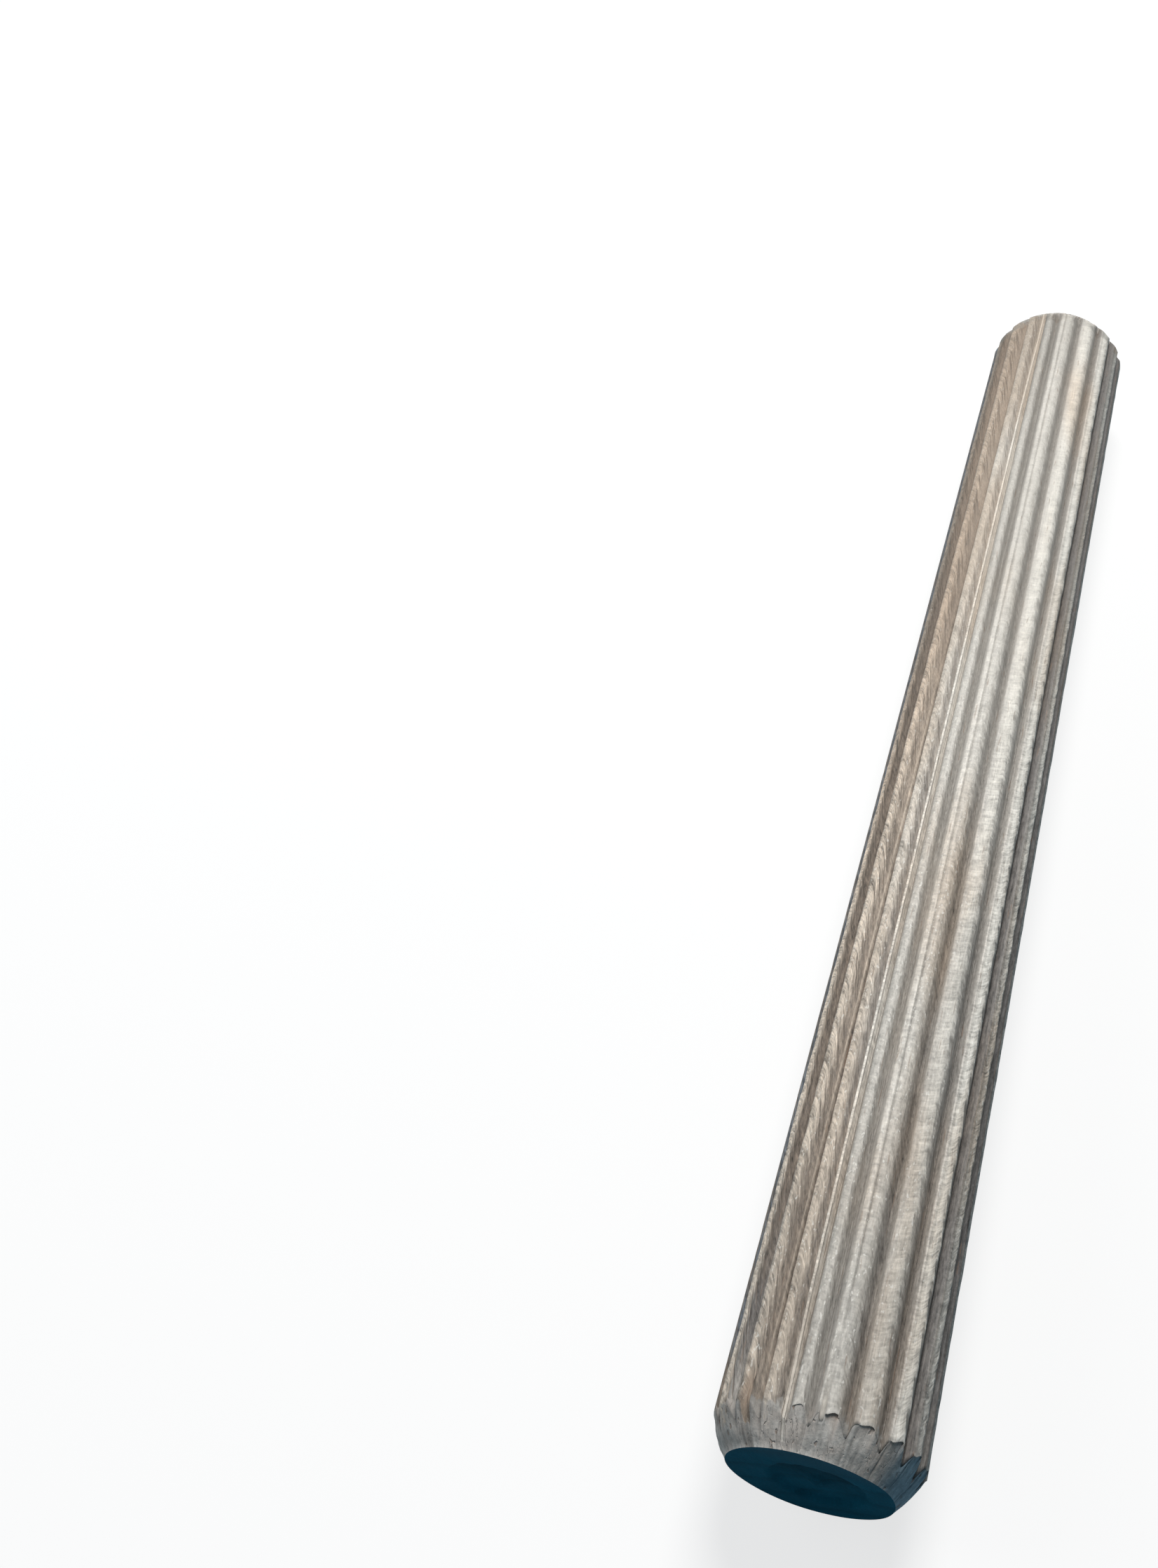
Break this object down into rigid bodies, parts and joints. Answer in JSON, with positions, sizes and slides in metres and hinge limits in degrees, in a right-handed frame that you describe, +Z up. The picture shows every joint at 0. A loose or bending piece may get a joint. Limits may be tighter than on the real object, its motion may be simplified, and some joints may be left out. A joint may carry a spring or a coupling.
{
  "type": "dowel pin",
  "caption": "Fluted wooden dowel pin: a straight round pin with long flutes along its whole shank and a chamfer at each end.",
  "frame": {"origin": "on the pin's axis at the middle of its length, which is the centre of its bounding box to within 0.02 mm", "axes": "+X along the pin's axis, +Z up as the pin lies on its side astride one flute, +Y across it"},
  "size_m": [0.14, 0.016, 0.016],
  "materials": {
    "beech": "bare, unfinished"
  },
  "bodies": {
    "root": {"dowel_pin": "beech"}
  },
  "joints": []
}
